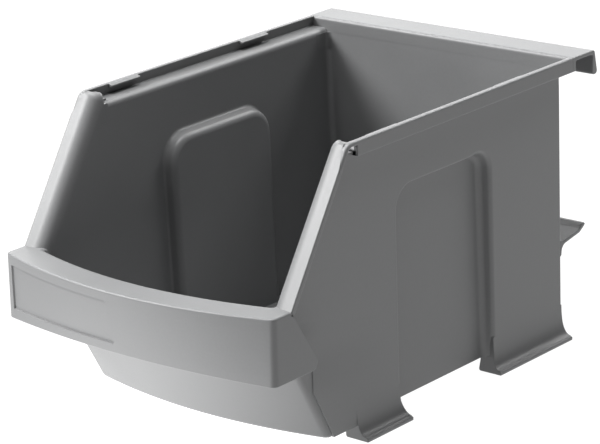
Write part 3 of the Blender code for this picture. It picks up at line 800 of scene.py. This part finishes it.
def channel_front(sign):
    """What closes the channel's front end: the wall, filled up to the flange's back, the end wall across
    the channel, a floor plate under the flange's head, and the bead that carries the lip's top on to the
    flange's face. The bead runs level, round an arc and down the slope."""
    out = float(wall_out(115.0))
    gusset = rounded([
        (stub_top[0] - 0.6, SEAM_Z - 0.5, 0.0), (GUSSET_REAR, SEAM_Z - 0.5, 0.0),
        (GUSSET_REAR, GUSSET_TOP, 0.0), (GUSSET_REAR - 0.8, GUSSET_TOP + 0.6, 0.3),
        (GUSSET_REAR - 2.4, GUSSET_TOP, 0.0),
    ], 4)
    block = run(gusset, sign * (out - WALL_THICK + A_HAIR), sign * (out - A_HAIR), 0)
    end_wall = rounded([
        (CHANNEL_FRONT, LEDGE_UNDER + 0.1, 0.0), (CHANNEL_FRONT + 1.6, LEDGE_UNDER + 0.1, 0.0),
        (CHANNEL_FRONT + 1.6, END_WALL_TOP, 0.6), (CHANNEL_FRONT, END_WALL_TOP, 0.6),
    ], 4)
    across_channel = run(end_wall, sign * (out + 0.2), sign * (LIP_INNER + 0.6), 0)
    bead = rounded([
        (LIP_CREST + 0.25, -BEAD_DEPTH, 0.35), (LABEL_HALF - 0.02, -BEAD_DEPTH, 0.35),
        (LABEL_HALF - 0.1, 0.0, 0.95), (LIP_CREST, 0.0, 0.5),
    ], 5)
    stations = ((CHANNEL_FRONT + 0.3, A_HAIR), (CHANNEL_FRONT - 0.05, 0.0), (BEND_START_Y + 0.3, 0.0))
    level = np.stack([
        np.column_stack([np.full(len(bead), y), HEIGHT - low + bead[:, 1]]) for y, low in stations
    ])
    bend = np.linspace(0.0, SLOPE_ANGLE, 9)[:, None]
    reach = HEAD_BEND + bead[None, :, 1]
    bent = np.dstack([BEND_START_Y - np.sin(bend) * reach, HEIGHT - HEAD_BEND + np.cos(bend) * reach])
    down = SLANT_LENGTH - BEND_REACH - np.array([0.4, 3.0, 7.0])
    sloped = np.stack([slant_point(along, bead[:, 1] - 0.04) for along in down])
    spots = np.concatenate([level, bent, sloped])
    lip_end = np.dstack([np.broadcast_to(sign * bead[:, 0], spots.shape[:2]), spots])
    pocket_floor = np.array([[-53.6, 119.3], [GUSSET_REAR, 119.3], [GUSSET_REAR, 120.3], [-53.0, 120.3]])
    floor_plate = run(pocket_floor, sign * (out - 0.5), sign * 68.8, 0)
    return block, across_channel, floor_plate, lip_end


def gathered(name, *shells):
    """One piece from several closed shells."""
    parts = [loft(name, rings) for rings in shells]
    mesh = parts[0].data
    shape = bmesh.new()
    for part in parts:
        shape.from_mesh(part.data)
    shape.to_mesh(mesh)
    shape.free()
    mesh.shade_smooth()
    mesh.set_sharp_from_angle(angle=SMOOTH_BELOW)
    for part in parts[1:]:
        bpy.data.objects.remove(part, do_unlink=True)
    return parts[0]


for side, sign in (("left", -1.0), ("right", 1.0)):
    rail = rim("rim_" + side, sign)
    keep(rail, "rim_lip_" + side, "rim_lip_" + side, "rim_ledge_" + side)
    closing = gathered("channel_front_" + side, *channel_front(sign))
    keep(closing, "rim_end_" + side, "rim_end_" + side)


# Snap beads: two on the inner face of each lip, just under its top. A sloping upper face guides the foot of
# the next bin down past them.
TAB_HALF = 8.5
TAB_TOP = 124.85
TAB_NOSE = LIP_CREST - 1.7
TAB_EASE = 0.24
TAB_MIDDLES = (("front", -29.0), ("rear", 51.0))

for side, sign in (("left", -1.0), ("right", 1.0)):
    for place, middle in TAB_MIDDLES:
        bead = rounded([
            (LIP_INNER + 0.5, TAB_TOP, 0.0), (LIP_CREST - 0.2, TAB_TOP, 0.3), (TAB_NOSE, 124.2, 0.3),
            (TAB_NOSE + 0.1, 123.5, 0.25), (LIP_INNER + 0.5, 122.8, 0.0),
        ], 4)
        bead[:, 0] *= sign
        tab_rings = run(bead, middle - TAB_HALF, middle + TAB_HALF, 1, TAB_EASE, TAB_EASE)
        tab = loft("snap_bead_" + side + "_" + place, tab_rings)
        keep(tab, "tab_" + side + "_" + place, "tab_" + side + "_" + place)


# Rear hook: a plate that reaches back over the top of the back wall, and a lip that hangs down behind it, so
# that the bin drops over the edge of a slot. Its inside corners are small rounds.
hook_section = rounded([
    (91.45, LEDGE_UNDER, 0.0), (91.4, HEIGHT, 1.3), (107.3, HEIGHT, 1.5), (109.0, 114.5, 1.5),
    (105.3, 114.5, 1.3), (105.9, 123.3, 0.9), (93.9, 123.3, 0.9), (93.9, LEDGE_UNDER, 0.0),
], 6)
hook_stations = run(hook_section, -LABEL_HALF, LABEL_HALF, 0, 0.45, 0.45, np.linspace(-66.0, 66.0, 45))
hook_hanger = loft("hook_hanger", hook_stations)
keep(hook_hanger, "hook_plate", "hook_plate", "hook_lip")


# Catch: a thin shelf low on the back wall that turns up at its rear edge and steadies the hanging bin.
# Its root flows out of the wall, and its two ends are lightly rounded.
CATCH_HALF = 62.3
catch_section = rounded([
    (92.6, 36.4, 0.0), (93.6, 37.0, 0.0), (94.2, 41.2, 3.4), (106.8, 43.4, 2.5), (110.95, 46.0, 0.8),
    (110.2, 47.2, 0.6), (108.9, 47.0, 0.5), (106.6, 45.3, 0.8), (95.0, 43.0, 2.0), (93.6, 43.4, 0.0),
    (92.6, 43.4, 0.0),
], 5)
catch_rings = run(catch_section, -CATCH_HALF, CATCH_HALF, 0, 0.4, 0.4, np.linspace(-59.0, 59.0, 9))
wall_hook = loft("wall_catch_shelf", catch_rings)
keep(wall_hook, "wall_catch", "wall_catch")


# Feet: two runners under each side. Seen end on, the wall's face sweeps outwards in a hollow curve to a bead
# along the bottom edge, wide enough to stand on the ledge of the bin below.
# Each runner: its place, its two ends along Y, and how far each end is cut back towards the top
FOOT_RANGES = (("front", (-43.7, -15.2), (0.0, 1.5)), ("rear", (42.4, 93.0), (2.5, 0.0)))
FLARE_TOP = 15.0
FLARE_HEIGHT = 13.0
FLARE_INNER = 62.14
FLARE_REACH = 4.2


def foot(name, sign, limits, trims):
    """The runner's cross section, carried along Y, with both ends lightly rounded. Its hollow flare moves
    out by share to the power 2.6 while it drops by 1 less (1 - share) to the power 1.6. Beside the recess
    the end is cut back by its trim towards the top, so that the flare dies out at the recess's edge."""
    share = np.linspace(0.0, 1.0, 13)
    hollow = np.column_stack([
        FLARE_INNER + FLARE_REACH * share ** 2.6,
        FLARE_TOP - FLARE_HEIGHT * (1.0 - (1.0 - share) ** 1.6),
    ])
    start = rounded([
        (57.2, 6.6, 0.0), (56.0, 6.4, 0.3), (56.0, 0.0, 0.9), (67.5, 0.0, 0.35), (67.5, 1.45, 0.45),
        (66.9, 1.6, 0.1), (66.6, 1.9, 0.0),
    ], 4, False)
    section = np.concatenate([start, hollow[::-1], [[60.4, FLARE_TOP], [60.4, 6.6]]])
    section[:, 0] *= sign
    rings = run(section, limits[0], limits[1], 1, 0.3, 0.3)
    cut = np.clip((rings[..., 2] - 1.8) / 6.0, 0.0, 1.0)
    rings[..., 1] = np.clip(rings[..., 1], limits[0] + trims[0] * cut, limits[1] - trims[1] * cut)
    return loft(name, rings)


for side, sign in (("left", -1.0), ("right", 1.0)):
    for place, limits, trims in FOOT_RANGES:
        runner = foot("foot_" + place + "_runner_" + side, sign, limits, trims)
        keep(runner, "foot_" + place + "_" + side, "foot_" + place + "_" + side)
